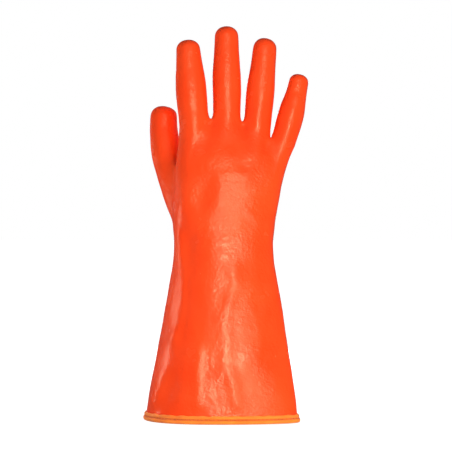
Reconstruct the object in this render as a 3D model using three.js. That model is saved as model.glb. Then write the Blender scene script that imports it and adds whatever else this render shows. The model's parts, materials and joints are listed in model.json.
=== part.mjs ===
// A right-hand PVC coated gauntlet glove that stands on its bound hem, in millimetres.
// The fingers point up (+Z), the back of the hand faces -Y, the palm +Y, and the thumb is on the -X side.
// The glove is one dipped, hollow shell, open at the hem. A tape is folded round its raw edge and sewn.
import * as THREE from "three";

const { lerp, smoothstep } = THREE.MathUtils;

// Heights
const cuffLength = 162; // hem to the narrowest part of the wrist
const palmLength = 109; // wrist to the web between index and middle finger
const ringWebDrop = 2.4; // how much lower the web between middle and ring finger lies
const littleWebDrop = 17.4; // how much lower the web between ring and little finger lies
const indexSideDrop = 8; // how much lower the index finger starts on its outer side
const littleSideDrop = 26; // how much lower the little finger starts on its outer side
const thumbBaseHeight = 17; // wrist to the lowest point of the thumb's root
const thumbRootLength = 50; // height of the thumb's root on the side of the hand

// Digits: length from the web beside each to its tip, and width across
const indexLength = 71.8;
const middleLength = 84;
const ringLength = 75.6;
const littleLength = 57.7;
const thumbLength = 56;
const indexWidth = 28;
const middleWidth = 25.6;
const ringWidth = 25.4;
const littleWidth = 23.6;
const thumbWidth = 29;
const webGap = 3; // clear width between index and middle finger just above their web
const thumbOut = 9.6; // how far the middle of the thumb's tip stands out past the side of the wrist
const thumbBow = 9; // how far the thumb bows out past its tip
const thumbForward = 34; // how far the thumb's tip stands to the palm's side

// Widths (X) and depths (Y) of the gauntlet and hand
const hemWidth = 137;
const hemDepth = 82;
const thumbEndBack = 7; // how far the hem's end on the thumb side lies to the palm's side of its middle
const littleEndFront = 20; // how far the hem's fold on the other side lies to the back of the hand's side
const hemShift = -2.2; // how far the hem's centre lies from the wrist's, along X
const wristWidth = 89;
const wristDepth = 60;
const knuckleDepth = 39;
const knuckleShift = 12.2; // how far the knuckles' centre lies from the wrist's, along X

// Wall, folds and binding
const wall = 2.2; // the coating and the cloth that it soaks
const foldDepth = 3.4; // depth of the deepest fold
const foldWidth = 12; // half width of the widest fold
const tape = 1.2; // thickness of the binding tape
const clearance = 0.3; // between the tape and the shell
const bindingHeight = 7;
const bindingBulge = 2.2; // how far the sewn tape stands out from the shell

// Fineness of the mesh
const sideSteps = 5; // columns of the hand that each finger takes on the back, and again on the palm
const cuffRows = 14;
const THUMB_ROWS = { below: 2, beside: 6, above: 4 }; // the hand's rows below, beside and above the thumb's root
const thumbColumns = 6; // columns of the hand that the thumb's root takes

// How the gauntlet widens from the wrist (flare 0) down to the hem (flare 1), how far it moves over as a share
// of hemShift, how far its two ends move as shares of thumbEndBack and littleEndFront, and how square it is
// (2 is an ellipse).
const CUFF_SECTIONS = [
  { up: 0, flare: 1, shift: 1, thumbEnd: 1, littleEnd: 1, square: 2.2 },
  { up: 0.19, flare: 0.84, shift: 0.7, thumbEnd: 1, littleEnd: 0.9, square: 2.2 },
  { up: 0.45, flare: 0.535, shift: 0.15, thumbEnd: 0.9, littleEnd: 0.68, square: 2.2 },
  { up: 0.72, flare: 0.235, shift: 0, thumbEnd: 0.7, littleEnd: 0.5, square: 2.15 },
  { up: 0.88, flare: 0.05, shift: 0, thumbEnd: 0.5, littleEnd: 0.42, square: 2.15 },
  { up: 1, flare: 0, shift: 0, thumbEnd: 0.4, littleEnd: 0.38, square: 2.15 },
];

// How the hand widens, thins and moves over from the wrist (0) to the knuckles (1), with its ends as above.
const HAND_SECTIONS = [
  { up: 0, spread: 0, thin: 0, shift: 0, thumbEnd: 0.4, littleEnd: 0.38, square: 2.15 },
  { up: 0.2, spread: 0.25, thin: 0.1, shift: 0.03, thumbEnd: 0.3, littleEnd: 0.34, square: 2.2 },
  { up: 0.4, spread: 0.4, thin: 0.35, shift: 0.25, thumbEnd: 0.15, littleEnd: 0.28, square: 2.25 },
  { up: 0.65, spread: 0.6, thin: 0.7, shift: 0.56, thumbEnd: 0, littleEnd: 0.18, square: 2.3 },
  { up: 0.85, spread: 0.93, thin: 0.93, shift: 0.93, thumbEnd: 0, littleEnd: 0.06, square: 2.3 },
  { up: 1, spread: 1, thin: 1, shift: 1, thumbEnd: 0, littleEnd: 0, square: 2.25 },
];

// The webs, from index to little finger. The gap between the two fingers' roots is a share of webGap.
const WEBS = [
  { drop: 0, gap: 1 },
  { drop: ringWebDrop, gap: 0.55 },
  { drop: littleWebDrop, gap: -0.35 },
];

// The fingers. Lean is the sideways slope at the root, reach the tip's way sideways and curl its way to the
// palm, as shares of the length. Tip is the girth where the round end starts, as a share of the width.
const FINGERS = [
  { length: indexLength, width: indexWidth, web: 0, lean: -0.08, reach: -0.075, curl: 0.08, tip: 0.79 },
  { length: middleLength, width: middleWidth, web: 0, lean: 0, reach: -0.005, curl: 0.08, tip: 0.86 },
  { length: ringLength, width: ringWidth, web: 1, lean: 0.09, reach: 0.098, curl: 0.06, tip: 0.84 },
  { length: littleLength, width: littleWidth, web: 2, lean: 0.3, reach: 0.255, curl: 0.06, tip: 0.75 },
];
// The thumb leaves its root at the share ring of its length. Inset moves the root's middle in, forward and
// down, as shares of the width. Bend is how far the bow is drawn to the root, and flare how far the root runs
// with the thumb.
const THUMB = { ring: 0.45, tip: 0.86, inset: [0.25, -0.125, -0.25], bend: 0.1, flare: 0.6 };
const fingerDepth = 0.95; // depth of a digit's section as a share of its width
const rootTuck = 0.05; // how much slimmer a digit is at its root, as a share of its width
const rootTuckEnd = 0.35; // share of a digit's length up to which the root is slimmer
const taperStart = 0.4; // share of a digit's length where it starts to taper
const domeShare = 0.86; // share of a digit's length where its round end starts
const domeSquare = 2.4; // how square the round end is (2 is a half circle)
const turnStart = 0.2; // share of the way from wrist to roots where the columns start to turn to the fingers
const drawRange = [0.6, 1.1]; // shares of that way over which the rows are drawn to the roots

// Rings up a finger, up its round end, and up the flare of the thumb's root, as shares.
const FINGER_RINGS = [0.035, 0.1, 0.2, 0.33, 0.48, 0.64, 0.82, 1];
const DOME_RINGS = [0.38, 0.7, 0.92];
const ROOT_RINGS = [0.15, 0.32, 0.5, 0.68, 0.84, 1];
const THUMB_RINGS = [0.34, 0.68, 1];

// Folds and swellings. Around is a share of a turn from the thumb side over the back of the hand, up a share
// of the height of the webs, width a share of foldWidth and raise a share of foldDepth.
const RELIEF = [
  { name: "fold by the thumb-side edge", around: [0.12, 0.125], up: [0.1, 0.58], width: 1, raise: -1 },
  { name: "hollow by the little-finger edge", around: [0.4, 0.39], up: [0.2, 0.52], width: 1.2, raise: -0.5 },
  { name: "hollow of the gauntlet's back", around: [0.73, 0.72], up: [0.2, 0.5], width: 1.6, raise: -0.8 },
  { name: "dent over the index knuckle", around: [0.18, 0.2], up: [0.72, 0.77], width: 0.8, raise: -0.4 },
  { name: "dent over the ring knuckle", around: [0.34, 0.36], up: [0.82, 0.87], width: 0.8, raise: -0.45 },
  { name: "upper wrist ripple", around: [0.19, 0.29], up: [0.575, 0.57], width: 0.28, raise: -0.28 },
  { name: "lower wrist ripple", around: [0.21, 0.33], up: [0.535, 0.54], width: 0.32, raise: -0.3 },
  { name: "ball of the thumb", around: [0.84, 0.86], up: [0.64, 0.8], width: 1.4, raise: 1.3 },
  { name: "ball of the little finger", around: [0.62, 0.62], up: [0.64, 0.8], width: 1.4, raise: 0.8 },
  { name: "hollow of the palm", around: [0.74, 0.74], up: [0.7, 0.86], width: 1.2, raise: -0.55 },
];

// The outside of the folded tape, from the hem up: a thick roll, the sewn groove and a thin roll.
const TAPE_SECTION = [
  { out: 0.2, up: 0 },
  { out: 0.82, up: 0.1 },
  { out: 1, up: 0.28 },
  { out: 0.88, up: 0.46 },
  { out: 0.5, up: 0.58 },
  { out: 0.72, up: 0.69 },
  { out: 0.74, up: 0.86 },
  { out: 0.42, up: 1 },
];
const innerTapeShare = 0.85; // height of the tape inside the hem, as a share of its height outside

const PVC_ORANGE = 0xff5a2a;
const TAPE_ORANGE = 0xff8a35;

const webHeight = cuffLength + palmLength;
const shellFloor = tape + clearance; // the shell's raw edge sits in the fold of the tape
const bindingClear = bindingHeight + 2 * clearance;
const knuckleWidth = FINGERS.reduce((sum, finger) => sum + finger.width, 0)
  + WEBS.reduce((sum, web) => sum + web.gap * webGap, 0);

const fingerSides = 2 * sideSteps + 6;
const ringSize = 2 * (FINGERS.length * sideSteps + 1) + 4;
const count = (n) => Array.from({ length: n }, (_, i) => i);
const fingerAngles = count(fingerSides).map((m) => ((m + 0.5) * 2 * Math.PI) / fingerSides);
const columnAngles = count(ringSize).map((j) => ((j + 1.5) * 2 * Math.PI) / ringSize);

// One column of a table at a share of the way up it, on a smooth curve through the rows.
function column(table, name, up) {
  const last = table.length - 1;
  let i = 0;
  while (i < last - 1 && up > table[i + 1].up) i += 1;
  const slope = (k) => {
    const below = table[Math.max(k - 1, 0)];
    const above = table[Math.min(k + 1, last)];
    return (above[name] - below[name]) / (above.up - below.up);
  };
  const span = table[i + 1].up - table[i].up;
  const t = (Math.min(Math.max(up, 0), 1) - table[i].up) / span;
  const bend = span * t * (1 - t) * ((1 - t) * slope(i) - t * slope(i + 1));
  return lerp(table[i][name], table[i + 1][name], t * t * (3 - 2 * t)) + bend;
}

// The oval section of the gauntlet or hand at a height.
function sectionAt(height) {
  const isCuff = height < cuffLength;
  const table = isCuff ? CUFF_SECTIONS : HAND_SECTIONS;
  const up = isCuff ? height / cuffLength : (height - cuffLength) / palmLength;
  const at = (name) => column(table, name, up);
  const wide = isCuff ? at("flare") : at("spread");
  return {
    x: (isCuff ? hemShift : knuckleShift) * at("shift"),
    halfWidth: lerp(wristWidth, isCuff ? hemWidth : knuckleWidth, wide) / 2,
    halfDepth: lerp(wristDepth, isCuff ? hemDepth : knuckleDepth, isCuff ? wide : at("thin")) / 2,
    thumbEnd: thumbEndBack * at("thumbEnd"),
    littleEnd: -littleEndFront * at("littleEnd"),
    square: at("square"),
  };
}

const signedPower = (value, power) => Math.sign(value) * Math.abs(value) ** power;

// A point of a section. The angle runs from the thumb side (0) over the back to the other side (pi).
function sectionPoint(height, angle) {
  const s = sectionAt(height);
  const across = signedPower(Math.cos(angle), 2 / s.square);
  const deep = signedPower(Math.sin(angle), 2 / s.square);
  const end = lerp(s.littleEnd, s.thumbEnd, (across + 1) / 2);
  const y = end * (1 - Math.abs(deep)) - s.halfDepth * deep;
  return new THREE.Vector3(s.x - s.halfWidth * across, y, height);
}

// The angle of the point of a section that lies in the direction of a given point.
function sectionAngle(point) {
  const s = sectionAt(point.z);
  const across = signedPower((s.x - point.x) / s.halfWidth, s.square / 2);
  const deep = signedPower(-point.y / s.halfDepth, s.square / 2);
  return Math.atan2(deep, across);
}

const reliefLines = RELIEF.map((fold) => {
  const [start, end] = fold.up.map((up, i) => sectionPoint(up * webHeight, fold.around[i] * 2 * Math.PI));
  return new THREE.Line3(start, end);
});

// How far the folds and swellings move a point outwards.
function reliefAt(point) {
  const nearest = new THREE.Vector3();
  return RELIEF.reduce((sum, fold, i) => {
    reliefLines[i].closestPointToPoint(point, true, nearest);
    const away = nearest.distanceTo(point) / (fold.width * foldWidth);
    return sum + fold.raise * foldDepth * Math.exp(-away * away);
  }, 0);
}

// A point on the outside of the gauntlet or hand, with its folds.
function surfacePoint(height, angle) {
  const step = Math.PI / ringSize;
  const point = sectionPoint(height, angle);
  const along = sectionPoint(height, angle + step).sub(sectionPoint(height, angle - step));
  const outwards = new THREE.Vector3(along.y, -along.x, 0).normalize();
  return point.addScaledVector(outwards, reliefAt(point));
}

// A digit: its curved middle line, its girth and its oval section.
class Digit {
  constructor(root, bend, tip, width, tipGirth) {
    this.line = new THREE.QuadraticBezierCurve3(root, bend, tip);
    this.length = root.distanceTo(tip);
    this.width = width;
    this.tipGirth = tipGirth;
  }

  // The middle line, carried straight on below the root.
  centre(u) {
    const { v0, v1 } = this.line;
    const below = v1.clone().sub(v0).multiplyScalar(2 * Math.min(u, 0));
    return this.line.getPoint(Math.max(u, 0)).add(below);
  }

  // Directions along the digit, across it and through its depth.
  frame(u) {
    const along = this.line.getTangent(Math.max(u, 0));
    const across = new THREE.Vector3(1, 0, 0).addScaledVector(along, -along.x).normalize();
    const deep = new THREE.Vector3().crossVectors(along, across);
    return { along, across, deep };
  }

  girth(u) {
    const root = rootTuck * (1 - smoothstep(u, 0, rootTuckEnd));
    const end = (1 - this.tipGirth) * smoothstep(u, taperStart, domeShare);
    return this.width * (1 - root - end);
  }

  point(u, angle, scale = 1) {
    const { across, deep } = this.frame(u);
    const radius = (this.girth(u) / 2) * scale;
    return this.centre(u)
      .addScaledVector(across, -radius * Math.cos(angle))
      .addScaledVector(deep, -radius * fingerDepth * Math.sin(angle));
  }

  // The share of the way up where the digit's side at an angle passes a height near its root.
  shareAt(height, angle) {
    return (height - this.point(0, angle).z) / (this.line.v2.z - this.line.v0.z);
  }

  // The angle at which a point lies round the middle line.
  angleOf(u, point) {
    const { across, deep } = this.frame(u);
    const away = point.clone().sub(this.centre(u));
    return Math.atan2(-away.dot(deep), -away.dot(across));
  }
}

// The outer surface: vertices, and faces of three or four vertices that run anticlockwise seen from outside.
class Skin {
  constructor() {
    this.points = [];
    this.faces = [];
  }

  add(point) {
    return this.points.push(point) - 1;
  }

  // Joins one ring of vertices to the next one up.
  strip(lower, upper, isOpen = () => false) {
    lower.forEach((a, i) => {
      const next = (i + 1) % lower.length;
      if (!isOpen(i)) this.faces.push([a, lower[next], upper[next], upper[i]]);
    });
  }

  // Adds a digit's round end above its last ring.
  dome(digit, ring, angles) {
    let lower = ring;
    for (const step of DOME_RINGS) {
      const scale = (1 - step ** domeSquare) ** (1 / domeSquare);
      const upper = angles.map((angle) => this.add(digit.point(lerp(domeShare, 1, step), angle, scale)));
      this.strip(lower, upper);
      lower = upper;
    }
    const tip = this.add(digit.centre(1));
    lower.forEach((a, i) => this.faces.push([a, lower[(i + 1) % lower.length], tip]));
  }

  // The direction out of the surface at each vertex.
  normals() {
    const normals = this.points.map(() => new THREE.Vector3());
    for (const face of this.faces) {
      const corners = face.map((i) => this.points[i]);
      const diagonal = corners[2].clone().sub(corners[0]);
      const other = corners[corners.length - 1].clone().sub(corners[1]);
      const normal = diagonal.cross(other);
      face.forEach((i) => normals[i].add(normal));
    }
    return normals.map((normal) => normal.normalize());
  }
}

// Heights where the fingers start: beside the index finger, in the webs, beside the little finger.
const rootHeights = [
  webHeight - indexSideDrop,
  ...WEBS.map((web) => webHeight - web.drop),
  webHeight - littleSideDrop,
];

function rootHeight(f, angle) {
  return lerp(rootHeights[f], rootHeights[f + 1], (1 - Math.cos(angle)) / 2);
}

// The fingers stand side by side along the knuckles.
function makeFingers() {
  let side = knuckleShift - knuckleWidth / 2;
  return FINGERS.map((finger, f) => {
    const x = side + finger.width / 2;
    side += finger.width + (f < WEBS.length ? WEBS[f].gap * webGap : 0);
    const base = (rootHeights[f] + rootHeights[f + 1]) / 2;
    const top = webHeight - WEBS[finger.web].drop + finger.length;
    const rise = top - base;
    const root = new THREE.Vector3(x, 0, base);
    const bend = new THREE.Vector3(x + (finger.lean * rise) / 2, (finger.curl * rise) / 4, base + rise / 2);
    const tip = new THREE.Vector3(x + finger.reach * rise, finger.curl * rise, top);
    return new Digit(root, bend, tip, finger.width, finger.tip);
  });
}

// The vertex on which side m of finger f stands: a column of the hand, or one of the two points of a web.
function rootSlot(f, m) {
  const firstPalm = sideSteps + 4;
  const lastPalm = 2 * sideSteps + 4;
  if (m >= 1 && m <= sideSteps + 1) return sideSteps * f + m - 1;
  if (m >= firstPalm && m <= lastPalm) return ringSize - 3 - sideSteps * f - (lastPalm - m);
  const palmSide = m === firstPalm - 1 || m === lastPalm + 1 ? 1 : 0;
  const web = m === 0 || m === lastPalm + 1 ? f - 1 : f;
  if (web < 0) return ringSize - 1 - palmSide;
  if (web === WEBS.length) return sideSteps * FINGERS.length + 1 + palmSide;
  return ringSize + 2 * web + palmSide;
}

// The row of roots: the fingers' sides at their starting heights, drawn together where two fingers meet.
function makeRoots(fingers) {
  const slots = count(ringSize + 2 * WEBS.length).map(() => []);
  fingers.forEach((finger, f) => {
    fingerAngles.forEach((angle, m) => {
      const start = finger.shareAt(rootHeight(f, angle), angle);
      slots[rootSlot(f, m)].push(finger.point(start, angle));
    });
  });
  return slots.map((points) => {
    const sum = points.reduce((total, point) => total.add(point), new THREE.Vector3());
    return sum.divideScalar(points.length);
  });
}

// Shares from one value to another in equal steps, without the first.
const steps = (from, to, n) => count(n).map((i) => lerp(from, to, (i + 1) / n));

// The rows of the gauntlet and hand, from the hem to the row of roots.
function makeRows(skin, roots, rootRow) {
  const cuffHeights = [shellFloor, bindingClear, ...steps(bindingClear, cuffLength, cuffRows)];
  const rows = cuffHeights.map((height) => columnAngles.map((angle) => skin.add(surfacePoint(height, angle))));
  const sideHeight = rootHeights[0] - cuffLength;
  const base = thumbBaseHeight / sideHeight;
  const web = (thumbBaseHeight + thumbRootLength) / sideHeight;
  const shares = [
    ...steps(0, base, THUMB_ROWS.below),
    ...steps(base, web, THUMB_ROWS.beside),
    ...steps(web, 1, THUMB_ROWS.above).slice(0, -1),
  ];
  for (const share of shares) {
    const row = columnAngles.map((even, j) => {
      const root = roots[j];
      const turned = even + Math.asin(Math.sin(sectionAngle(root) - even));
      const height = lerp(cuffLength, root.z, share);
      const angle = lerp(even, turned, smoothstep(share, turnStart, 1));
      const pull = smoothstep(share, ...drawRange) / smoothstep(1, ...drawRange);
      const draw = root.clone().sub(surfacePoint(root.z, turned)).multiplyScalar(pull);
      return skin.add(surfacePoint(height, angle).add(draw));
    });
    rows.push(row);
  }
  rows.push(rootRow);
  return rows;
}

// Each finger grows from the row of roots. The gap beside it opens to its full width just above the web.
function addFinger(skin, finger, f, roots) {
  const starts = fingerAngles.map((angle) => finger.shareAt(rootHeight(f, angle), angle));
  const pulls = fingerAngles.map((angle, m) => {
    return skin.points[roots[rootSlot(f, m)]].clone().sub(finger.point(starts[m], angle));
  });
  let lower = fingerAngles.map((_, m) => roots[rootSlot(f, m)]);
  for (const step of FINGER_RINGS) {
    const upper = fingerAngles.map((angle, m) => {
      const u = lerp(starts[m], domeShare, step);
      const rise = (u - starts[m]) * finger.length;
      return skin.add(finger.point(u, angle).addScaledVector(pulls[m], Math.exp(-rise / webGap)));
    });
    skin.strip(lower, upper);
    lower = upper;
  }
  skin.dome(finger, lower, fingerAngles);
}

// The thumb leaves the side of the hand through a gap in its rows, flares out of it and turns up.
function makeThumb(rootMiddle) {
  const top = cuffLength + thumbBaseHeight + thumbRootLength + thumbLength;
  const tip = new THREE.Vector3(-wristWidth / 2 - thumbOut, thumbForward, top);
  const bend = tip.clone().add(new THREE.Vector3(-thumbBow, 0, 0)).lerp(rootMiddle, THUMB.bend);
  bend.z = (rootMiddle.z + top) / 2;
  return new Digit(rootMiddle, bend, tip, thumbWidth, THUMB.tip);
}

function addThumb(skin, rows, firstRow) {
  const lastRow = firstRow + THUMB_ROWS.beside;
  const first = ringSize - 1 - thumbColumns;
  const across = count(thumbColumns).map((i) => first + i);
  const up = count(THUMB_ROWS.beside).map((i) => firstRow + i);
  const edge = [
    ...across.map((j) => rows[firstRow][j]),
    ...up.map((k) => rows[k][ringSize - 1]),
    ...across.map((j) => rows[lastRow][ringSize - 1 - (j - first)]),
    ...up.map((k) => rows[lastRow - (k - firstRow)][first]),
  ];
  const middle = edge.reduce((total, i) => total.add(skin.points[i]), new THREE.Vector3());
  middle.divideScalar(edge.length).addScaledVector(new THREE.Vector3(...THUMB.inset), thumbWidth);
  const thumb = makeThumb(middle);
  const even = edge.map((_, k) => (k * 2 * Math.PI) / edge.length);
  const turns = edge.map((i, k) => thumb.angleOf(THUMB.ring, skin.points[i]) - even[k]);
  const sum = (f) => turns.reduce((total, turn) => total + f(turn), 0);
  const phase = Math.atan2(sum(Math.sin), sum(Math.cos));
  const angles = even.map((angle) => phase + angle);
  const { along } = thumb.frame(THUMB.ring);
  const flares = edge.map((i, k) => {
    const start = skin.points[i];
    const end = thumb.point(THUMB.ring, angles[k]);
    const bend = end.clone().addScaledVector(along, -THUMB.flare * start.distanceTo(end));
    return new THREE.QuadraticBezierCurve3(start, bend, end);
  });
  const rings = [
    ...ROOT_RINGS.map((t) => flares.map((flare) => flare.getPoint(t))),
    ...THUMB_RINGS.map((t) => angles.map((angle) => thumb.point(lerp(THUMB.ring, domeShare, t), angle))),
  ];
  let lower = edge;
  for (const ring of rings) {
    const upper = ring.map((point) => skin.add(point));
    skin.strip(lower, upper);
    lower = upper;
  }
  skin.dome(thumb, lower, angles);
}

// A closed mesh from its vertices and faces.
function makeMesh(name, points, faces, color) {
  const triangles = faces.flatMap((face) => {
    return face.length === 3 ? [face] : [[face[0], face[1], face[2]], [face[0], face[2], face[3]]];
  });
  const geometry = new THREE.BufferGeometry().setFromPoints(points);
  geometry.setIndex(triangles.flat());
  geometry.computeVertexNormals();
  const material = new THREE.MeshStandardMaterial({ color, roughness: 0.35, metalness: 0 });
  const mesh = new THREE.Mesh(geometry, material);
  mesh.name = name;
  return mesh;
}

// The shell: the outer skin, the same skin moved in by the wall, and the raw edge between them.
function makeShell() {
  const skin = new Skin();
  const fingers = makeFingers();
  const roots = makeRoots(fingers);
  const rootIds = roots.map((point) => skin.add(point));
  const rows = makeRows(skin, roots, rootIds.slice(0, ringSize));
  const firstThumbRow = cuffRows + 1 + THUMB_ROWS.below;
  const besideThumb = (k) => k >= firstThumbRow && k < firstThumbRow + THUMB_ROWS.beside;
  rows.slice(1).forEach((upper, k) => {
    const isOpen = (j) => besideThumb(k) && j >= ringSize - 1 - thumbColumns && j < ringSize - 1;
    skin.strip(rows[k], upper, isOpen);
  });
  fingers.forEach((finger, f) => addFinger(skin, finger, f, rootIds));
  addThumb(skin, rows, firstThumbRow);

  const rim = new Set(rows[0]);
  const normals = skin.normals();
  const inner = skin.points.map((point, i) => {
    const out = rim.has(i) ? normals[i].clone().setZ(0).normalize() : normals[i];
    return point.clone().addScaledVector(out, -wall);
  });
  const size = skin.points.length;
  const innerFaces = skin.faces.map((face) => face.map((i) => i + size).reverse());
  const edge = rows[0].map((a, i) => {
    const b = rows[0][(i + 1) % ringSize];
    return [a, a + size, b + size, b];
  });
  const faces = [...skin.faces, ...innerFaces, ...edge];
  return makeMesh("glove_shell", [...skin.points, ...inner], faces, PVC_ORANGE);
}

// The binding: a tape folded round the raw edge, as one closed section swept round the hem.
function makeBinding() {
  const outside = TAPE_SECTION.map((row) => [row.out * bindingBulge, row.up * bindingHeight]);
  const inside = -wall - clearance;
  const innerTop = innerTapeShare * bindingHeight;
  const section = [
    ...outside,
    [clearance, bindingHeight],
    [clearance, tape],
    [inside, tape],
    [inside, innerTop],
    [inside - tape, innerTop],
    [inside - tape, tape],
    [inside, 0],
  ];
  const edge = columnAngles.map((angle) => surfacePoint(shellFloor, angle));
  const above = columnAngles.map((angle) => surfacePoint(bindingClear, angle));
  const rings = section.map(([out, height]) => {
    const share = (height - shellFloor) / (bindingClear - shellFloor);
    return edge.map((point, j) => {
      const along = edge[(j + 1) % ringSize].clone().sub(edge.at(j - 1));
      const outwards = new THREE.Vector3(along.y, -along.x, 0).normalize();
      return point.clone().lerp(above[j], share).addScaledVector(outwards, out);
    });
  });
  const faces = rings.flatMap((_, k) => {
    const lower = k * ringSize;
    const upper = ((k + 1) % rings.length) * ringSize;
    return count(ringSize).map((j) => {
      const next = (j + 1) % ringSize;
      return [lower + j, lower + next, upper + next, upper + j];
    });
  });
  return makeMesh("cuff_binding", rings.flat(), faces, TAPE_ORANGE);
}

// The origin is on the floor, below the middle of the whole glove.
const glove = new THREE.Group();
glove.add(makeShell(), makeBinding());
const middle = new THREE.Box3().setFromObject(glove).getCenter(new THREE.Vector3());
glove.position.set(-middle.x, -middle.y, 0);

export default glove;
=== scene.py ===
# A PVC coated gauntlet glove that stands on its bound hem, with the back of the hand towards the camera.
# The glove is one dipped shell with a cotton lining in it, a tape folded round its edge and a row of sewing.
import json
import math

import bpy
import numpy as np
from mathutils import Matrix, Vector

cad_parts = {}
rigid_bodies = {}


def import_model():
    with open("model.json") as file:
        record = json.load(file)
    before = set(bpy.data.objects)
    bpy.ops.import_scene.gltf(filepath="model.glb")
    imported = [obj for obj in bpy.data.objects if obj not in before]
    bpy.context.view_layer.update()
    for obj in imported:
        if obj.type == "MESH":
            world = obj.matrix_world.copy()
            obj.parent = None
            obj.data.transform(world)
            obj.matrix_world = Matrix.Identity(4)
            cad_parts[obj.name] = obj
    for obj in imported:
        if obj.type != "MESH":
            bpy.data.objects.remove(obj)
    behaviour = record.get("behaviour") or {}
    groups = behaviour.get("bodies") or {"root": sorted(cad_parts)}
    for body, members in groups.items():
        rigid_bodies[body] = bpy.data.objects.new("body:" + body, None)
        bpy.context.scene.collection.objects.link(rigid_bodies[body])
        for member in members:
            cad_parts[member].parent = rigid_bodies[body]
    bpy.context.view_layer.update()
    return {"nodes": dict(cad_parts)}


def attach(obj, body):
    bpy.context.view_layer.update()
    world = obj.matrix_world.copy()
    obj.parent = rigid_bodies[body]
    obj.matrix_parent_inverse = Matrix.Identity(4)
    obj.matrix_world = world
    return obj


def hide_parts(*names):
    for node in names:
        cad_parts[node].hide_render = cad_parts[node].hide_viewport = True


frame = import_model()

# Camera: level, far off and straight at the back of the hand, so that the glove fills the frame's height.
camera_place = Vector((0.00025, -1.6, 0.1746))
camera_data = bpy.data.cameras.new("photo_camera")
camera_data.angle = math.radians(14.52)
camera_data.clip_end = 50
camera = bpy.data.objects.new("photo_camera", camera_data)
camera.location = camera_place
camera.rotation_euler = (math.radians(90), 0, 0)
bpy.context.scene.collection.objects.link(camera)
bpy.context.scene.camera = camera
bpy.context.scene.view_settings.view_transform = "Standard"

# Floor: a plain sheet of matt white board, wide enough to reach the horizon. It glows a little more far off,
# so that it runs into the white paper behind, and it stays out of the glove's gloss.
bpy.ops.object.select_all(action="DESELECT")
bpy.ops.mesh.primitive_plane_add(size=40, location=(0, 0, 0))
floor = bpy.context.object
floor.name = "floor"
floor.visible_glossy = False
floor.visible_diffuse = False

board = bpy.data.materials.new("white_board")
board.use_nodes = True
nodes, links = board.node_tree.nodes, board.node_tree.links
surface = nodes["Principled BSDF"]
surface.inputs["Base Color"].default_value = (0.3, 0.3, 0.3, 1)
surface.inputs["Roughness"].default_value = 0.9
surface.inputs["Emission Strength"].default_value = 1
place = nodes.new("ShaderNodeTexCoord")
reach = nodes.new("ShaderNodeVectorMath")
reach.operation = "LENGTH"
fade = nodes.new("ShaderNodeMapRange")
fade.inputs["From Min"].default_value = 0.3
fade.inputs["From Max"].default_value = 2.0
fade.inputs["To Min"].default_value = 0.88
fade.inputs["To Max"].default_value = 1.0
links.new(place.outputs["Object"], reach.inputs[0])
links.new(reach.outputs["Value"], fade.inputs["Value"])
links.new(fade.outputs["Result"], surface.inputs["Emission Color"])
floor.data.materials.append(board)

# Studio: white paper behind, and soft boxes round the glove. Right and up are in degrees from the camera's
# side, as seen from the glove, and the other sizes in metres. A box on "gloss" is only seen in the glove's
# gloss, and one on "body" lights it without a reflection of its own. The room is dimmer in the gloss as well.
world = bpy.data.worlds.new("studio")
bpy.context.scene.world = world
world.use_nodes = True
nodes, links = world.node_tree.nodes, world.node_tree.links
room = nodes["Background"]
room.inputs["Color"].default_value = (1, 1, 1, 1)
room.inputs["Strength"].default_value = 0.38
dusk = nodes.new("ShaderNodeBackground")
dusk.inputs["Color"].default_value = (1, 1, 1, 1)
dusk.inputs["Strength"].default_value = 0.1
paper = nodes.new("ShaderNodeBackground")
paper.inputs["Color"].default_value = (1, 1, 1, 1)
seen = nodes.new("ShaderNodeLightPath")
unseen = nodes.new("ShaderNodeMixShader")
links.new(seen.outputs["Is Glossy Ray"], unseen.inputs["Fac"])
links.new(room.outputs["Background"], unseen.inputs[1])
links.new(dusk.outputs["Background"], unseen.inputs[2])
either = nodes.new("ShaderNodeMixShader")
links.new(seen.outputs["Is Camera Ray"], either.inputs["Fac"])
links.new(unseen.outputs["Shader"], either.inputs[1])
links.new(paper.outputs["Background"], either.inputs[2])
links.new(either.outputs["Shader"], nodes["World Output"].inputs["Surface"])

SOFT_BOXES = [
    {"name": "key_box", "on": "gloss", "right": 2, "up": -4, "away": 0.95,
     "wide": 0.16, "tall": 0.24, "glow": 14},
    {"name": "hand_box", "on": "gloss", "right": 6, "up": 18, "away": 1.0,
     "wide": 0.5, "tall": 0.22, "glow": 5.6},
    {"name": "wide_box", "on": "gloss", "right": 8, "up": 14, "away": 1.4,
     "wide": 1.6, "tall": 1.4, "glow": 0.45},
    {"name": "fill_box", "on": "body", "right": 18, "up": -8, "away": 0.8,
     "wide": 0.5, "tall": 0.3, "glow": 23.5},
    {"name": "rim_strip", "on": "gloss", "right": -92, "up": -6, "away": 0.45,
     "wide": 0.05, "tall": 0.16, "glow": 7},
    {"name": "left_fill", "on": "body", "right": -125, "up": 4, "away": 0.9,
     "wide": 0.4, "tall": 0.4, "glow": 14},
    {"name": "back_key", "on": "gloss", "right": 184, "up": 0, "away": 0.95,
     "wide": 0.2, "tall": 0.5, "glow": 5},
    {"name": "back_fill", "on": "body", "right": 165, "up": 6, "away": 0.9,
     "wide": 0.5, "tall": 0.4, "glow": 16},
]
middle = Vector((0, 0, 0.17))
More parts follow.
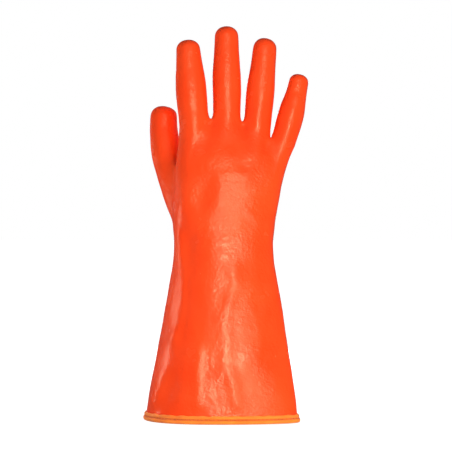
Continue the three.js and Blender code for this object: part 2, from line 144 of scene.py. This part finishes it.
for row in SOFT_BOXES:
    data = bpy.data.lights.new(row["name"], "AREA")
    data.shape = "RECTANGLE"
    data.size = row["wide"]
    data.size_y = row["tall"]
    data.energy = row["glow"] * math.pi * row["wide"] * row["tall"]
    box = bpy.data.objects.new(row["name"], data)
    right, up = math.radians(row["right"]), math.radians(row["up"])
    way = Vector((math.sin(right) * math.cos(up), -math.cos(right) * math.cos(up), math.sin(up)))
    box.location = middle + row["away"] * way
    box.rotation_euler = way.to_track_quat("Z", "Y").to_euler()
    box.visible_glossy = row["on"] != "body"
    box.visible_diffuse = row["on"] != "gloss"
    box.visible_camera = False
    bpy.context.scene.collection.objects.link(box)

# Coated shell: cotton jersey dipped in soft orange PVC, one hollow piece from the fingertips to the hem.
# Its outside is the frame's shell made smooth. Folds and dents are then worked in, as wear and packing do.
coat_thickness = 0.0022
merge_distance = 1e-6


def start_from(node_name, name):
    """A copy of one of the frame's meshes, with its loose triangles joined up."""
    bpy.ops.object.select_all(action="DESELECT")
    piece = bpy.data.objects.new(name, frame["nodes"][node_name].data.copy())
    bpy.context.scene.collection.objects.link(piece)
    bpy.context.view_layer.objects.active = piece
    piece.select_set(True)
    bpy.ops.object.mode_set(mode="EDIT")
    bpy.ops.mesh.select_all(action="SELECT")
    bpy.ops.mesh.remove_doubles(threshold=merge_distance)
    bpy.ops.mesh.select_all(action="DESELECT")
    bpy.ops.object.mode_set(mode="OBJECT")
    return piece


shell = start_from("glove_shell", "coated_shell")

# The raw edge is cut away, which parts the outside from the inside, and only the outside is kept.
edge_height = 0.002
facing_down = -0.9
for face in shell.data.polygons:
    face.select = face.normal.z < facing_down and face.center.z < edge_height
bpy.ops.object.mode_set(mode="EDIT")
bpy.ops.mesh.select_mode(type="FACE")
bpy.ops.mesh.delete(type="FACE")
bpy.ops.mesh.select_mode(type="VERT")
bpy.ops.object.mode_set(mode="OBJECT")
max(shell.data.vertices, key=lambda vertex: vertex.co.z).select = True
bpy.ops.object.mode_set(mode="EDIT")
bpy.ops.mesh.select_linked()
bpy.ops.mesh.select_all(action="INVERT")
bpy.ops.mesh.delete(type="VERT")
bpy.ops.mesh.select_all(action="SELECT")
bpy.ops.mesh.tris_convert_to_quads(face_threshold=math.pi, shape_threshold=math.pi, topology_influence=1)
bpy.ops.object.mode_set(mode="OBJECT")


def read_points(mesh):
    """The places of a mesh's points, one row each."""
    points = np.empty(len(mesh.vertices) * 3)
    mesh.vertices.foreach_get("co", points)
    return points.reshape(-1, 3)


def read_normals(mesh):
    """Which way a mesh faces at its points, one row each."""
    normals = np.empty(len(mesh.vertices) * 3)
    mesh.vertices.foreach_get("normal", normals)
    return normals.reshape(-1, 3)


def write_points(mesh, points):
    """Moves a mesh's points to new places."""
    mesh.vertices.foreach_set("co", points.ravel())
    mesh.update()


def smooth(piece, levels, share):
    """Makes a piece smooth and keeps its size, by first moving out as much as the smoothing will draw in.
    No point moves further than the share of its shortest edge, so that close rows don't cross.
    """
    modifier = piece.modifiers.new("smooth", "SUBSURF")
    modifier.levels = levels
    modifier.render_levels = levels
    coarse = read_points(piece.data)
    view = bpy.context.evaluated_depsgraph_get()
    drawn_in = read_points(piece.evaluated_get(view).data)[: len(coarse)]
    move = coarse - drawn_in
    move_length = np.maximum(np.linalg.norm(move, axis=1), np.finfo(float).tiny)
    ends = np.array([edge.vertices[:] for edge in piece.data.edges])
    edge_length = np.linalg.norm(coarse[ends[:, 0]] - coarse[ends[:, 1]], axis=1)
    shortest = np.full(len(coarse), np.inf)
    np.minimum.at(shortest, ends[:, 0], edge_length)
    np.minimum.at(shortest, ends[:, 1], edge_length)
    kept = np.minimum(1, share * shortest / move_length)
    write_points(piece.data, coarse + move * kept[:, None])
    bpy.context.view_layer.objects.active = piece
    bpy.ops.object.modifier_apply(modifier=modifier.name)
    for face in piece.data.polygons:
        face.use_smooth = True


smooth(shell, levels=2, share=0.2)

# The back of the hand below the webs is drawn smooth, where the fingers run into it.
knuckle_zone = (0.222, 0.264)
facing_camera = -0.3
smoothing_rounds = 40
for vertex, normal in zip(shell.data.vertices, read_normals(shell.data)):
    vertex.select = knuckle_zone[0] < vertex.co.z < knuckle_zone[1] and bool(normal[1] < facing_camera)
for face in shell.data.polygons:
    face.select = False
for edge in shell.data.edges:
    edge.select = False
bpy.ops.object.mode_set(mode="EDIT")
bpy.ops.mesh.vertices_smooth(factor=0.5, repeat=smoothing_rounds)
bpy.ops.mesh.select_all(action="DESELECT")
bpy.ops.object.mode_set(mode="OBJECT")

# Folds, crests and dents on the back. Each runs through points (x, z) as the camera sees them, in
# millimetres. Wide is its half width and lift how far it stands out, or sinks in where it is below zero.
mm = 0.001
CREASES = [
    {"name": "left edge, upper", "wide": 8, "lift": 2.0, "path": [
        (-43, 165), (-40, 147.5), (-37.5, 136), (-37.2, 121), (-39, 103), (-41, 89), (-44.5, 76)]},
    {"name": "left edge, lower", "wide": 10, "lift": 1.8, "path": [
        (-45.5, 71), (-46.5, 56), (-49, 44), (-58, 32), (-64, 20), (-67, 8)]},
    {"name": "crease beside the edge", "wide": 3, "lift": -0.4, "path": [
        (-34, 125), (-34, 112), (-35, 98), (-37.5, 84), (-39.5, 70)]},
    {"name": "main crest", "wide": 6, "lift": 0.7, "path": [
        (7.5, 135), (8, 117), (3.5, 105), (-0.2, 90), (0.7, 76),
        (-0.2, 63), (1.7, 46.5), (6.2, 34), (8.9, 19.5), (11.6, 6)]},
    {"name": "filled valley under the first web", "wide": 6, "lift": 1.2, "path": [
        (-15, 262), (-21, 254), (-27, 246)]},
    {"name": "main crest, top", "wide": 6, "lift": 0.5, "path": [(7.5, 135), (8, 117), (3.5, 105)]},
    {"name": "main crest, foot", "wide": 5, "lift": 0.6, "path": [(6.2, 34), (9, 20), (12, 6)]},
    {"name": "left crest", "wide": 4.5, "lift": 1.15, "path": [
        (-23.5, 63), (-26, 45), (-25.5, 27), (-26, 6)]},
    {"name": "low patch", "wide": 6, "lift": 0.8, "path": [(22.4, 57), (33.2, 68)]},
    {"name": "faint line", "wide": 4, "lift": 0.4, "path": [(35, 108), (35, 90)]},
    {"name": "wrist glint", "wide": 4, "lift": 0.6, "path": [(39.5, 178), (38.8, 162)]},
    {"name": "lower glint", "wide": 4, "lift": 0.6, "path": [(40, 135), (40.4, 121)]},
    {"name": "slanting swelling", "wide": 5, "lift": 0.5, "path": [(20.6, 187), (29.6, 178)]},
    {"name": "first ripple", "wide": 2.4, "lift": 0.4, "path": [(-18, 164), (-4, 163), (8, 166)]},
    {"name": "second ripple", "wide": 2.4, "lift": -0.4, "path": [(-19, 157), (-8, 156), (10, 159)]},
    {"name": "third ripple", "wide": 2.4, "lift": 0.3, "path": [(-14, 149), (4, 148), (10, 150)]},
    {"name": "swelling of the middle bone", "wide": 8, "lift": 0.7, "path": [(-4.7, 218), (-6, 205)]},
    {"name": "swelling of the index bone", "wide": 8, "lift": 0.6, "path": [(-37, 207), (-36, 195)]},
    {"name": "dent beside the index bone", "wide": 8, "lift": -0.6, "path": [(-22, 208), (-22, 196)]},
    {"name": "dent under the ring knuckle", "wide": 10, "lift": -0.8, "path": [(18, 231), (28, 227)]},
    {"name": "index knuckle", "wide": 7, "lift": 1.1, "path": [(-26.3, 272), (-26, 262)]},
    {"name": "middle finger", "wide": 5, "lift": 0.25, "path": [(3.5, 297), (3.8, 262)]},
    {"name": "ring finger", "wide": 5, "lift": 0.8, "path": [(33, 293), (29.6, 270)]},
    {"name": "little finger", "wide": 5, "lift": 0.7, "path": [(64, 288), (54, 252)]},
    {"name": "dimple of the first web", "wide": 3.5, "lift": -1.2, "path": [(-12.8, 266), (-13.5, 261)]},
    {"name": "dimple of the second web", "wide": 3.5, "lift": -1.2, "path": [(16.1, 264), (16.5, 259)]},
    {"name": "dimple of the third web", "wide": 3.5, "lift": -1.2, "path": [(36.8, 249), (35.5, 244)]},
]


def ease(value, low, high):
    """Goes gently from 0 at the low value to 1 at the high one."""
    share = np.clip((value - low) / (high - low), 0, 1)
    return share * share * (3 - 2 * share)


def distance_to(points, start, end):
    """How far points lie from the straight line between two of them."""
    along = end - start
    share = np.clip((points - start) @ along / (along @ along), 0, 1)
    return np.linalg.norm(points - start - share[:, None] * along, axis=1)


points = read_points(shell.data)
normals = read_normals(shell.data)
lift = np.zeros(len(points))
for crease in CREASES:
    route = []
    for x, z in crease["path"]:
        seen_at = Vector((x * mm, 0, z * mm))
        _, spot, _, _ = shell.ray_cast(camera_place, seen_at - camera_place)
        route.append(np.array(spot))
    away = np.min([distance_to(points, a, b) for a, b in zip(route, route[1:])], axis=0)
    lift += crease["lift"] * mm * np.exp(-((away / (crease["wide"] * mm)) ** 2))
sewn_height = 0.008
loose_height = 0.02
hem_free = ease(points[:, 2], sewn_height, loose_height)
write_points(shell.data, points + normals * (lift * hem_free)[:, None])

# Soft waves of the limp coating, then the wall is given its thickness. Its inside takes the second material.
WAVES = [
    {"name": "slow_waves", "size": 0.024, "height": 0.0011},
    {"name": "quick_waves", "size": 0.009, "height": 0.0002},
]
group = shell.vertex_groups.new(name="above_hem")
for index, share in enumerate(hem_free):
    group.add([index], share, "REPLACE")
bpy.context.view_layer.objects.active = shell
for row in WAVES:
    clouds = bpy.data.textures.new(row["name"], "CLOUDS")
    clouds.noise_scale = row["size"]
    clouds.noise_depth = 1
    clouds.noise_basis = "IMPROVED_PERLIN"
    modifier = shell.modifiers.new(row["name"], "DISPLACE")
    modifier.texture = clouds
    modifier.texture_coords = "LOCAL"
    modifier.vertex_group = group.name
    modifier.strength = row["height"]
    bpy.ops.object.modifier_apply(modifier=modifier.name)
shell.data.materials.clear()
shell.data.materials.append(None)
shell.data.materials.append(None)
modifier = shell.modifiers.new("wall", "SOLIDIFY")
modifier.thickness = coat_thickness
modifier.offset = -1
modifier.material_offset = 1
bpy.ops.object.modifier_apply(modifier=modifier.name)

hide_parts("glove_shell")
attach(shell, "root")

# Coating: glossy soft PVC with a fine orange peel, on a slightly uneven orange.
coating = bpy.data.materials.new("dipped_pvc")
coating.use_nodes = True
nodes, links = coating.node_tree.nodes, coating.node_tree.links
plastic = nodes["Principled BSDF"]
plastic.inputs["IOR"].default_value = 1.5
plastic.inputs["Specular Tint"].default_value = (1, 0.9, 0.55, 1)
place = nodes.new("ShaderNodeTexCoord")


def noise(size, detail):
    """A noise over the piece with features of about that size, in metres."""
    node = nodes.new("ShaderNodeTexNoise")
    node.inputs["Scale"].default_value = 1 / size
    node.inputs["Detail"].default_value = detail
    links.new(place.outputs["Object"], node.inputs["Vector"])
    return node.outputs["Fac"]


def shades(value, low, low_colour, high, high_colour):
    """A colour that runs from one shade to another as a value rises."""
    node = nodes.new("ShaderNodeValToRGB")
    node.color_ramp.elements[0].position = low
    node.color_ramp.elements[0].color = (*low_colour, 1)
    node.color_ramp.elements[1].position = high
    node.color_ramp.elements[1].color = (*high_colour, 1)
    links.new(value, node.inputs["Fac"])
    return node.outputs["Color"]


def work_out(operation, *values):
    """A Math node whose inputs are numbers or the outputs of other nodes."""
    node = nodes.new("ShaderNodeMath")
    node.operation = operation
    for socket, value in zip(node.inputs, values):
        if isinstance(value, (int, float)):
            socket.default_value = value
        else:
            links.new(value, socket)
    return node.outputs["Value"]


def relief(height, distance, strength=1.0, over=None):
    """Raises the surface in the shading by a height, on top of another relief if one is given."""
    node = nodes.new("ShaderNodeBump")
    node.inputs["Distance"].default_value = distance
    node.inputs["Strength"].default_value = strength
    links.new(height, node.inputs["Height"])
    if over is not None:
        links.new(over, node.inputs["Normal"])
    return node.outputs["Normal"]


orange = shades(noise(size=0.035, detail=3), 0.35, (0.9, 0.050, 0.0065), 0.65, (0.93, 0.060, 0.0085))
links.new(orange, plastic.inputs["Base Color"])

gloss = nodes.new("ShaderNodeMapRange")
gloss.inputs["From Min"].default_value = 0.3
gloss.inputs["From Max"].default_value = 0.7
gloss.inputs["To Min"].default_value = 0.18
gloss.inputs["To Max"].default_value = 0.28
links.new(noise(size=0.018, detail=2), gloss.inputs["Value"])
links.new(gloss.outputs["Result"], plastic.inputs["Roughness"])

# Crinkles of the jersey under the coating show through it in some places and less in others.
crinkled = nodes.new("ShaderNodeMapRange")
crinkled.interpolation_type = "SMOOTHSTEP"
crinkled.inputs["From Min"].default_value = 0.38
crinkled.inputs["From Max"].default_value = 0.62
crinkled.inputs["To Min"].default_value = 0.25
links.new(noise(size=0.022, detail=1), crinkled.inputs["Value"])
crinkle_height = work_out("MULTIPLY", noise(size=0.0023, detail=2), crinkled.outputs["Result"])
crinkles = relief(crinkle_height, distance=0.0004)
ripples = relief(noise(size=0.007, detail=2), distance=0.0004, over=crinkles)
orange_peel = relief(noise(size=0.0012, detail=1), distance=0.0001, strength=0.6, over=ripples)
links.new(orange_peel, plastic.inputs["Normal"])

# Lining: cotton jersey that the coating has soaked into, knitted as a tube. Its wales run up the glove and
# its rows round it, so a stitch is a small V that widens with the gauntlet.
lining = bpy.data.materials.new("cotton_jersey")
lining.use_nodes = True
nodes, links = lining.node_tree.nodes, lining.node_tree.links
jersey = nodes["Principled BSDF"]
jersey.inputs["Roughness"].default_value = 0.95
jersey.inputs["Sheen Weight"].default_value = 0.3
place = nodes.new("ShaderNodeTexCoord")
axes = nodes.new("ShaderNodeSeparateXYZ")
links.new(place.outputs["Object"], axes.inputs["Vector"])
wales_round = 230
row_height = 0.0013
leg_slant = 1.4
loop_share = 0.3
turn = work_out("ARCTAN2", axes.outputs["Y"], axes.outputs["X"])
wale = work_out("FRACT", work_out("MULTIPLY", turn, wales_round / (2 * math.pi)))
off_middle = work_out("ABSOLUTE", work_out("SUBTRACT", wale, 0.5))
rows_up = work_out("DIVIDE", axes.outputs["Z"], row_height)
climb = work_out("ADD", rows_up, work_out("MULTIPLY", off_middle, leg_slant))
loop = work_out("SINE", work_out("MULTIPLY", climb, 2 * math.pi))
rib = work_out("COSINE", work_out("MULTIPLY", off_middle, 2 * math.pi))
stitch_height = work_out("ADD", work_out("MULTIPLY", loop, loop_share), work_out("ABSOLUTE", rib))
links.new(relief(stitch_height, distance=0.0003), jersey.inputs["Normal"])
# Painted shade: the yarn colour is darker where the knit lies low between the loops and lighter on their
# tops.
yarn_and_painted_shade = shades(stitch_height, 0.0, (0.42, 0.33, 0.24), 0.9, (0.76, 0.69, 0.58))
links.new(yarn_and_painted_shade, jersey.inputs["Base Color"])
shell.data.materials[0] = coating
shell.data.materials[1] = lining

# Hem tape: a strip of lighter orange polyester tape, folded round the raw edge of the shell and sewn through.
# The sewing draws it in along a groove and puckers it at each stitch. It is the frame's binding made smooth.
stitch_pitch = 0.0036
groove_height = 0.00406
groove_reach = 0.00008
groove_half = 0.0013

hem_tape = start_from("cuff_binding", "hem_tape")
bpy.ops.object.mode_set(mode="EDIT")
bpy.ops.mesh.select_all(action="SELECT")
bpy.ops.mesh.tris_convert_to_quads(face_threshold=math.pi, shape_threshold=math.pi, topology_influence=1)
bpy.ops.mesh.select_all(action="DESELECT")
bpy.ops.object.mode_set(mode="OBJECT")
hem_middle = read_points(hem_tape.data).mean(axis=0)
smooth(hem_tape, levels=3, share=2.0)


def round_the_hem(points):
    """The line through some points of the tape, in order round the hem, and how far along it each lies."""
    turns = np.arctan2(points[:, 1] - hem_middle[1], points[:, 0] - hem_middle[0])
    line = points[np.argsort(turns)]
    line = np.vstack([line, line[:1]])
    lengths = np.linalg.norm(np.diff(line, axis=0), axis=1)
    return line, np.concatenate([[0], np.cumsum(lengths)])


tape_points = read_points(hem_tape.data)
tape_normals = read_normals(hem_tape.data)
outwards = ((tape_points - hem_middle) * tape_normals)[:, :2].sum(axis=1) > 0
in_groove = np.abs(tape_points[:, 2] - groove_height) < groove_reach
groove, groove_lengths = round_the_hem(tape_points[in_groove & outwards])
stitch_count = round(groove_lengths[-1] / stitch_pitch)

# Each stitch's two ends pull the tape in. Between them it swells a little, and its edges run slightly wavy.
# Its foot, on which the glove stands, stays level.
pucker_depth = 0.00022
edge_wave = 0.00018
long_waves_round = 23
short_waves_round = 37
foot_height = 0.002
edge_starts = 0.004
edge_ends = 0.0065
turns = np.arctan2(tape_points[:, 1] - hem_middle[1], tape_points[:, 0] - hem_middle[0])
groove_turns = np.arctan2(groove[:-1, 1] - hem_middle[1], groove[:-1, 0] - hem_middle[0])
along = np.interp(turns, groove_turns, groove_lengths[:-1], period=2 * math.pi) / groove_lengths[-1]
pucker = np.cos(2 * math.pi * stitch_count * along)
near_groove = np.exp(-(((tape_points[:, 2] - groove_height) / groove_half) ** 2))
long_waves = np.sin(2 * math.pi * long_waves_round * along)
short_waves = np.sin(2 * math.pi * short_waves_round * along + 1)
swell = edge_wave * (long_waves + short_waves) / 2
pushed = (swell - pucker_depth * pucker * near_groove) * ease(tape_points[:, 2], 0.0, foot_height)
puckered = tape_points + tape_normals * pushed[:, None]
puckered[:, 2] += swell * ease(tape_points[:, 2], edge_starts, edge_ends)
write_points(hem_tape.data, puckered)

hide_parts("cuff_binding")
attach(hem_tape, "root")

# Tape cloth: a close, slightly shiny weave. Its threads run round the hem and up over the edge. A darker
# orange is painted in along the groove, where the sewing draws it together, as painted shade.
tape_cloth = bpy.data.materials.new("woven_tape")
tape_cloth.use_nodes = True
nodes, links = tape_cloth.node_tree.nodes, tape_cloth.node_tree.links
cloth = nodes["Principled BSDF"]
cloth.inputs["Roughness"].default_value = 0.5
cloth.inputs["Sheen Weight"].default_value = 0.1
place = nodes.new("ShaderNodeTexCoord")
axes = nodes.new("ShaderNodeSeparateXYZ")
links.new(place.outputs["Object"], axes.inputs["Vector"])
threads_round = 620
thread_height = 0.0006
turn = work_out("ARCTAN2", axes.outputs["Y"], axes.outputs["X"])
warp = work_out("SINE", work_out("MULTIPLY", turn, threads_round))
weft = work_out("SINE", work_out("MULTIPLY", axes.outputs["Z"], 2 * math.pi / thread_height))
weave = relief(work_out("MULTIPLY", warp, weft), distance=0.0001, strength=0.7)
links.new(weave, cloth.inputs["Normal"])
dye = shades(noise(size=0.012, detail=3), 0.3, (0.92, 0.185, 0.010), 0.7, (0.98, 0.240, 0.014))
# Painted shade: near the groove's height the dye is mixed towards a darker orange.
off_groove = work_out("ABSOLUTE", work_out("SUBTRACT", axes.outputs["Z"], groove_height))
painted_groove_shade = nodes.new("ShaderNodeMapRange")
painted_groove_shade.interpolation_type = "SMOOTHSTEP"
painted_groove_shade.inputs["From Min"].default_value = 0.0003
painted_groove_shade.inputs["From Max"].default_value = 0.0011
painted_groove_shade.inputs["To Min"].default_value = 0.75
painted_groove_shade.inputs["To Max"].default_value = 0.0
links.new(off_groove, painted_groove_shade.inputs["Value"])
dye_and_painted_shade = nodes.new("ShaderNodeMix")
dye_and_painted_shade.data_type = "RGBA"
links.new(painted_groove_shade.outputs["Result"], dye_and_painted_shade.inputs["Factor"])
links.new(dye, dye_and_painted_shade.inputs["A"])
dye_and_painted_shade.inputs["B"].default_value = (0.62, 0.085, 0.012, 1)
links.new(dye_and_painted_shade.outputs["Result"], cloth.inputs["Base Color"])
hem_tape.data.materials.clear()
hem_tape.data.materials.append(tape_cloth)

# Sewing: one row of lockstitches in the groove, of twisted polyester thread. One stitch is modelled, thinner
# towards its ends, and copied round the outside and the inside of the hem.
stitch_length = 0.0029
thread_thickness = 0.00062
proud_share = 0.2

bpy.ops.object.select_all(action="DESELECT")
bpy.ops.mesh.primitive_uv_sphere_add(segments=8, ring_count=6, radius=thread_thickness / 2)
stitch = bpy.context.object
stitch.name = "stitch"
bpy.ops.object.mode_set(mode="EDIT")
bpy.ops.mesh.select_all(action="SELECT")
bpy.ops.transform.rotate(value=math.pi / 2, orient_axis="Y", center_override=(0, 0, 0))
bpy.ops.transform.resize(value=(stitch_length / thread_thickness, 1, 1), center_override=(0, 0, 0))
bpy.ops.mesh.select_all(action="DESELECT")
bpy.ops.object.mode_set(mode="OBJECT")
for face in stitch.data.polygons:
    face.use_smooth = True

inner_line, inner_lengths = round_the_hem(tape_points[in_groove & ~outwards])
rows_of_sewing = [
    {"line": groove, "lengths": groove_lengths, "side": 1},
    {"line": inner_line, "lengths": inner_lengths, "side": -1},
]


def spot_on(row, distance):
    """The place at a distance along a row of sewing."""
    return Vector([np.interp(distance, row["lengths"], row["line"][:, axis]) for axis in range(3)])


copies = []
for row in rows_of_sewing:
    for index in range(stitch_count):
        distance = (index + 0.5) / stitch_count * row["lengths"][-1]
        middle_of_stitch = spot_on(row, distance)
        along_tape = (spot_on(row, distance + stitch_pitch / 4) - middle_of_stitch).normalized()
        out = along_tape.cross(Vector((0, 0, 1))) * row["side"]
        turned = Matrix((along_tape, out, along_tape.cross(out))).transposed().to_4x4()
        copy = stitch.copy()
        copy.data = stitch.data.copy()
        place_of_stitch = middle_of_stitch + out * thread_thickness * proud_share
        copy.matrix_world = Matrix.Translation(place_of_stitch) @ turned
        bpy.context.scene.collection.objects.link(copy)
        copies.append(copy)
bpy.data.objects.remove(stitch)
bpy.ops.object.select_all(action="DESELECT")
for copy in copies:
    copy.select_set(True)
sewing = copies[0]
bpy.context.view_layer.objects.active = sewing
bpy.ops.object.join()
bpy.ops.object.transform_apply(location=True, rotation=True, scale=True)
sewing.name = "hem_sewing"
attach(sewing, "root")

# Thread: three strands twisted together, a shade deeper than the tape.
thread = bpy.data.materials.new("twisted_thread")
thread.use_nodes = True
nodes, links = thread.node_tree.nodes, thread.node_tree.links
strands = nodes["Principled BSDF"]
strands.inputs["Roughness"].default_value = 0.45
place = nodes.new("ShaderNodeTexCoord")
axes = nodes.new("ShaderNodeSeparateXYZ")
links.new(place.outputs["Object"], axes.inputs["Vector"])
twist_per_radian = 500
twist_per_metre = 6000
turn = work_out("ARCTAN2", axes.outputs["Y"], axes.outputs["X"])
twist_round = work_out("MULTIPLY", turn, twist_per_radian)
twist_up = work_out("MULTIPLY", axes.outputs["Z"], twist_per_metre)
twist = work_out("SINE", work_out("ADD", twist_round, twist_up))
links.new(relief(twist, distance=0.0001), strands.inputs["Normal"])
# Painted shade: the thread is darker in the grooves between its strands and lighter on their crowns.
links.new(shades(twist, 0.0, (0.72, 0.11, 0.014), 1.0, (0.92, 0.2, 0.03)), strands.inputs["Base Color"])
sewing.data.materials.clear()
sewing.data.materials.append(thread)
